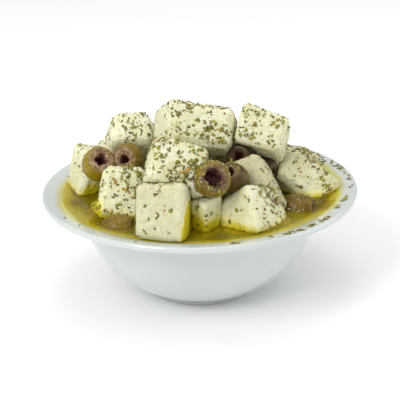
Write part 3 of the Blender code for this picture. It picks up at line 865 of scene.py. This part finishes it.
def make_oil(solids, material):
    """The oil's body, its surface drawn up a little round what stands in it, with shade painted there
    and at some spots.
    """
    wall = in_wall(BOWL_WALL - OIL_IN_WALL)
    under = [point for point in wall if point[1] < OIL_LEVEL]
    last, after = under[-1], wall[len(under)]
    edge = last[0] + (OIL_LEVEL - last[1]) / (after[1] - last[1]) * (after[0] - last[0])
    surface = [(edge * (1.0 - ring / OIL_RINGS), OIL_LEVEL) for ring in range(OIL_RINGS + 1)]
    outline = [(0.0, BOWL_FLOOR - OIL_IN_WALL)] + under + surface
    oil = revolved("clear_oil", outline, OIL_SIDES)
    depths_and_painted_shade = []
    for vertex in oil.data.vertices:
        from_wall = edge - vertex.co.xy.length / MM
        depth = 0.5 * smooth_step(0.0, OIL_DEEP_FROM, from_wall)
        # Painted shade at some spots.
        for x, y, reach, strength in OIL_PAINTED_SHADE_SPOTS:
            distance = math.hypot(vertex.co.x / MM - x, vertex.co.y / MM - y)
            depth += strength * math.exp(-(distance / reach) ** 2)
        depths_and_painted_shade.append(depth)
        if vertex.co.z < (OIL_LEVEL - 0.01) * MM or from_wall < 0.01:
            continue
        near = solids.find_nearest(vertex.co, MENISCUS_REACH * MM)
        if near[0] is not None:
            vertex.co.z += MENISCUS_HEIGHT * MM * math.exp(-near[3] / (MENISCUS_WIDTH * MM))
            # Painted shade round what stands in the oil.
            depths_and_painted_shade[-1] += OIL_PAINTED_SHADE_RIM * math.exp(-near[3] / (OIL_PAINTED_SHADE_WIDTH * MM))
        swell = waves(vertex.co / MM, OIL_SWELL)
        vertex.co.z += swell * MM * smooth_step(0.0, OIL_SWELL_FROM, from_wall)
    oil.data.update()
    set_attribute(oil.data, "depth", [min(depth, 1.0) for depth in depths_and_painted_shade])
    oil.data.materials.append(material)
    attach(oil, "root")
    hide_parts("oil")


# ---- zaatar

def leaf_shape(draw):
    """A dry leaf flake in millimetres: a thin uneven oval, bent along its length."""
    length = draw.uniform(1.3, 2.9)
    width = length * draw.uniform(0.5, 0.85)
    thick = draw.uniform(0.18, 0.36)
    bend = draw.uniform(-0.15, 0.2)
    sides = 8
    points = [(0.0, 0.0, thick), (0.0, 0.0, -0.1)]
    for side in range(sides):
        angle = math.tau * (side + draw.uniform(-0.25, 0.25)) / sides
        x = length / 2.0 * math.cos(angle) * draw.uniform(0.85, 1.1)
        y = width / 2.0 * math.sin(angle) * draw.uniform(0.8, 1.1)
        points.append((x, y, bend * (2.0 * x / length) ** 2 + draw.uniform(0.0, 0.12)))
    return points, skin([[1], range(2, 2 + sides), [0]], sides)


def grain_shape(low, high):
    """An uneven grain of a size between two: a rough ball with twenty facets."""
    def drawn(draw):
        size = draw.uniform(low, high)
        ball = bmesh.new()
        bmesh.ops.create_icosphere(ball, subdivisions=1, radius=size / 2.0)
        stretch = (1.0, draw.uniform(0.6, 0.9), draw.uniform(0.45, 0.7))
        points = [[value * share * draw.uniform(0.85, 1.15) for value, share in zip(vertex.co, stretch)]
                  for vertex in ball.verts]
        faces = [[vertex.index for vertex in face.verts] for face in ball.faces]
        ball.free()
        return points, faces
    return drawn


def seed_shape(draw):
    """A sesame seed: flat, round at one end and drawn to a point at the other."""
    length = draw.uniform(2.7, 3.2)
    outline = [(0.95 * math.sin(math.pi * (step / 7) ** 1.45) ** 0.75, length * (step / 7 - 0.5))
               for step in range(8)]
    points, faces = turned(outline, 10)
    return [(along, across, 0.15 + 0.42 * up) for across, up, along in points], faces


def lying(spot, normal, draw, tilt, lift):
    """The place of a flake on a surface: turned at random and tilted a little."""
    upright = normal.to_track_quat("Z", "Y").to_matrix().to_4x4()
    spin = Matrix.Rotation(draw.uniform(0.0, math.tau), 4, "Z")
    lean = Matrix.Rotation(math.radians(draw.uniform(-tilt, tilt)), 4, "X")
    return Matrix.Translation(spot + normal * lift * MM) @ upright @ spin @ lean


class Kind:
    """All the flakes of one kind, gathered into one mesh."""

    def __init__(self, name, shape, count, tilt, lift, material, draw):
        self.name = name
        self.shapes = [shape(draw) for _ in range(count)]
        self.tilt = tilt
        self.lift = lift
        self.material = material
        self.points = []
        self.faces = []

    def add(self, spot, normal, draw):
        """One more flake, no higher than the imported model."""
        shape_points, shape_faces = draw.choice(self.shapes)
        place = lying(spot, normal, draw, self.tilt, self.lift)
        start = len(self.points)
        for point in shape_points:
            placed_point = place @ (Vector(point) * MM)
            placed_point.z = min(placed_point.z, CAD_BOX[1][2])
            self.points.append(placed_point)
        self.faces.extend(tuple(start + index for index in face) for face in shape_faces)

    def make(self):
        thing = mesh_object(self.name, self.points, self.faces)
        turn_outward(thing.data)
        thing.data.materials.append(self.material)
        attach(thing, "root")


def surface_of(thing):
    """Corners, areas and normals of a mesh's triangles."""
    mesh = thing.data
    mesh.calc_loop_triangles()
    points = np.zeros(len(mesh.vertices) * 3)
    mesh.vertices.foreach_get("co", points)
    corners = np.zeros(len(mesh.loop_triangles) * 3, dtype=np.int64)
    mesh.loop_triangles.foreach_get("vertices", corners)
    triangles = points.reshape(-1, 3)[corners.reshape(-1, 3)]
    across = np.cross(triangles[:, 1] - triangles[:, 0], triangles[:, 2] - triangles[:, 0])
    doubled = np.linalg.norm(across, axis=1)
    normals = across / np.maximum(doubled, 1e-15)[:, None]
    return triangles, doubled / 2.0, normals


def seen_at(solids, x, y):
    """The spot on the solids, and its normal, that the camera sees at a pixel."""
    right, up, forward = camera_axes()
    scale = CAMERA_LENS / CAMERA_SENSOR * IMAGE_SIZE
    middle = IMAGE_SIZE / 2.0
    towards = forward + right * (x - middle) / scale + up * (middle - y) / scale
    start = Vector(CAMERA_TARGET) - forward * CAMERA_DISTANCE
    return solids.ray_cast(start, towards.normalized())[:2]


def clump(spot):
    """How dense the zaatar is at a spot, where the usual is 1."""
    point = spot / MM
    value = noise.noise(point * 0.11) + 0.5 * noise.noise(point * 0.3 + Vector((7, 3, 1)))
    return CLUMP_LEAST + CLUMP_ADDED * smooth_step(-0.25, 0.5, value)


def scatter_on_block(block, share, kinds, per_square, bare, draw):
    """Flakes at random on what faces up, in clumps and with few on the bare spots."""
    triangles, areas, normals = surface_of(block)
    exposure = np.clip(normals[:, 2], 0.0, 1.0) * (1.0 - SIDE_SHARE) + SIDE_SHARE
    exposure[normals[:, 2] < UNDERSIDE] = 0.0
    weights = areas * exposure
    total = weights.sum()
    tries = int(per_square * share * total / MM ** 2)
    picker = np.random.default_rng(draw.randrange(10 ** 6))
    chosen = picker.choice(len(weights), size=tries, p=weights / total)
    for index in chosen:
        u, v = draw.random(), draw.random()
        if u + v > 1.0:
            u, v = 1.0 - u, 1.0 - v
        a, b, c = triangles[index]
        spot = Vector(a + u * (b - a) + v * (c - a))
        if spot.z < (OIL_LEVEL + ABOVE_OIL) * MM:
            continue
        is_bare = any((spot - middle).length < radius * MM for middle, radius in bare)
        density = clump(spot) * (BARE_SHARE if is_bare else 1.0)
        if draw.random() * CLUMP_FULL > density:
            continue
        draw.choice(kinds).add(spot, Vector(normals[index]), draw)


def scatter_on_lip(kinds, draw):
    """Flakes on the bare lip, in clusters along the right and the front right."""
    lip = in_wall(BOWL_WALL)
    for middle, centre_radius, spread, count in LIP_CLUSTERS:
        for _ in range(count):
            angle = math.radians(draw.gauss(middle, spread / 2.0))
            radius = min(max(draw.gauss(centre_radius, LIP_SPREAD), LIP_RADII[0]), LIP_RADII[1])
            for start, end in zip(lip, lip[1:]):
                if start[0] <= radius <= end[0] and start[1] > LIP_LOWEST:
                    slope = math.atan2(end[1] - start[1], end[0] - start[0])
                    height = start[1] + (radius - start[0]) * math.tan(slope)
            outward = Vector((math.cos(angle), math.sin(angle), 0.0))
            spot = (outward * radius + Vector((0, 0, height))) * MM
            normal = (Vector((0, 0, math.cos(slope))) - outward * math.sin(slope)).normalized()
            draw.choice(kinds).add(spot, normal, draw)


def lay(solids, x, y, spread, count, kind, draw):
    """Flakes round the spot that the camera sees at a pixel."""
    aim, _ = seen_at(solids, x, y)
    if aim is None:
        return
    for _ in range(count):
        shifted = Vector(draw.gauss(value, spread / 10.0 * MM) for value in aim)
        spot, normal, _, _ = solids.find_nearest(shifted)
        kind.add(spot, normal, draw)


def scatter_on_oil(kinds, solids, draw):
    """Flakes afloat on the open oil."""
    made = 0.0
    while made < OIL_LEAVES:
        angle = draw.uniform(0.0, math.tau)
        radius = OIL_LEAVES_RADIUS * math.sqrt(draw.uniform(0.25, 1.0))
        spot = Vector((radius * math.cos(angle), radius * math.sin(angle), OIL_LEVEL)) * MM
        near, normal, _, distance = solids.find_nearest(spot)
        made += OIL_MISS
        if distance < OIL_LEAVES_GAP * MM or (spot - near).dot(normal) < 0.0:
            continue
        made += 1.0 - OIL_MISS
        draw.choice(kinds).add(spot, Vector((0, 0, 1)), draw)


def make_zaatar(blocks, olives, solids, cheese):
    draw = random.Random(ZAATAR_SEED)
    thyme = herb_material("thyme_green", (0.235, 0.23, 0.018), (0.49, 0.455, 0.055))
    oregano = herb_material("oregano_dark", (0.13, 0.105, 0.014), (0.3, 0.23, 0.036))
    sumac = herb_material("sumac_red", (0.13, 0.06, 0.02), (0.38, 0.2, 0.055))
    herb = herb_material("herb_crumb", (0.215, 0.195, 0.028), (0.46, 0.41, 0.085))
    sesame = herb_material("toasted_sesame", (0.5, 0.25, 0.02), (0.66, 0.42, 0.06), 0.5)
    green = Kind("thyme_flakes", leaf_shape, 12, 14.0, 0.06, thyme, draw)
    dark = Kind("oregano_flakes", leaf_shape, 10, 16.0, 0.06, oregano, draw)
    red = Kind("sumac_grains", grain_shape(0.9, 1.7), 10, 30.0, 0.2, sumac, draw)
    crumbs = Kind("herb_crumbs", grain_shape(0.45, 0.95), 10, 40.0, 0.12, herb, draw)
    seeds = Kind("sesame_seeds", seed_shape, 5, 14.0, 0.25, sesame, draw)
    # White crumbs, some laid as painted highlights on the half-sunk olives.
    white = Kind("cheese_crumbs_and_highlights", grain_shape(0.3, 1.2), 14, 40.0, 0.15, cheese, draw)
    bare = [(seen_at(solids, x, y)[0], radius) for x, y, radius in BARE_SPOTS]
    mixture = [green] * 5 + [dark] * 3 + [red] * 2
    for block in blocks:
        share = BLOCKS.get(block.name.removeprefix("block_"), OTHER_BLOCKS)[3]
        scatter_on_block(block, share, mixture, LEAVES_PER_SQUARE, bare, draw)
        scatter_on_block(block, share, [crumbs], CRUMBS_PER_SQUARE, bare, draw)
    for olive, (*_, share) in zip(olives, OLIVES.values()):
        scatter_on_block(olive, share, [green, dark, crumbs, crumbs], LEAVES_PER_SQUARE, bare, draw)
        scatter_on_block(olive, share, [white], WHITE_PER_SQUARE, bare, draw)
    for kind, spots in ((green, GREEN_SPOTS), (dark, DARK_SPOTS), (red, RED_SPOTS),
                        (seeds, SEED_SPOTS), (white, WHITE_SPOTS)):
        for x, y, spread, count in spots:
            lay(solids, x, y, spread, count, kind, draw)
    for x, y, spread, count in BROAD_SPOTS:
        for _ in range(count):
            lay(solids, x, y, spread, 1, draw.choice([green, green, dark, red, crumbs, crumbs]), draw)
    for _ in range(SESAME_ROUNDS):
        scatter_on_block(draw.choice(blocks), 1.0, [seeds], SESAME_PER_SQUARE, bare, draw)
    scatter_on_lip([green, green, green, dark, dark, crumbs, red], draw)
    scatter_on_oil([green, dark, crumbs, crumbs], solids, draw)
    for kind in (green, dark, red, crumbs, seeds, white):
        kind.make()


# ---- stage

def make_floor():
    half = FLOOR_SIZE / 2.0
    corners = [(-half, -half, 0.0), (half, -half, 0.0), (half, half, 0.0), (-half, half, 0.0)]
    floor = mesh_object("studio_floor", corners, [(0, 1, 2, 3)])
    floor.data.materials.append(floor_material())


def camera_axes():
    """The camera's right, up and forward directions."""
    tilt = math.radians(CAMERA_ELEVATION)
    forward = Vector((0.0, math.cos(tilt), -math.sin(tilt)))
    right = Vector((1, 0, 0))
    up = Vector((0.0, math.sin(tilt), math.cos(tilt)))
    roll = math.radians(CAMERA_ROLL)
    rolled_right = right * math.cos(roll) + up * math.sin(roll)
    rolled_up = up * math.cos(roll) - right * math.sin(roll)
    return rolled_right, rolled_up, forward


def make_camera():
    right, up, forward = camera_axes()
    camera = link(bpy.data.objects.new("camera", bpy.data.cameras.new("camera")))
    camera.data.lens = CAMERA_LENS
    camera.data.sensor_width = CAMERA_SENSOR
    camera.location = Vector(CAMERA_TARGET) - forward * CAMERA_DISTANCE
    camera.rotation_euler = Matrix((right, up, -forward)).transposed().to_euler()
    bpy.context.scene.camera = camera


def area_light(name, place, size, energy, colour):
    light = bpy.data.lights.new(name, "AREA")
    light.shape = "DISK"
    light.size = size
    light.energy = energy
    light.color = colour
    lamp = link(bpy.data.objects.new(name, light))
    lamp.location = place
    aim = Vector(LIGHT_TARGET) - Vector(place)
    lamp.rotation_euler = aim.to_track_quat("-Z", "Y").to_euler()


def make_light():
    """A soft studio sky, brightest from above and dimmer on the camera's side, and lamps."""
    world = bpy.data.worlds.new("studio")
    bpy.context.scene.world = world
    world.use_nodes = True
    tree = world.node_tree
    place = new_node(tree, "ShaderNodeTexCoord").outputs["Generated"]
    split = new_node(tree, "ShaderNodeSeparateXYZ", Vector=place)
    by_height = greys(tree, split.outputs["Z"], *SKY_BY_HEIGHT)
    backward = math_node(tree, "MULTIPLY", math_node(tree, "ADD", split.outputs["Y"], 1.0), 0.5)
    by_side = greys(tree, backward, *SKY_BY_SIDE)
    set_inputs(tree, tree.nodes["Background"], Color=times(tree, by_height, by_side),
               Strength=SKY_STRENGTH)
    for name, facts in LIGHTS.items():
        area_light(name, *facts)
    bpy.context.scene.view_settings.view_transform = "Standard"


def main():
    make_camera()
    make_light()
    make_floor()
    make_bowl(glaze_material())
    cheese = cheese_material()
    flesh = olive_material()
    nodes = sorted(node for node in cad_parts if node.startswith("cheese"))
    blocks = [make_block(node, seed, cheese) for seed, node in enumerate(nodes)]
    olives = []
    for name, (*facts, _) in OLIVES.items():
        olive = make_olive(name.replace("olive", "pitted"), *facts, flesh)
        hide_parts(name)
        olives.append(olive)
    for number, facts in enumerate(SUNK_CHEESE):
        make_sunk_block(number, *facts, cheese)
    for number, facts in enumerate(SUNK_OLIVES):
        make_olive("sunk_olive_%d" % number, *facts, flesh)
    solids = tree_of(blocks + olives)
    make_oil(solids, oil_material())
    make_zaatar(blocks, olives, solids, cheese)


main()
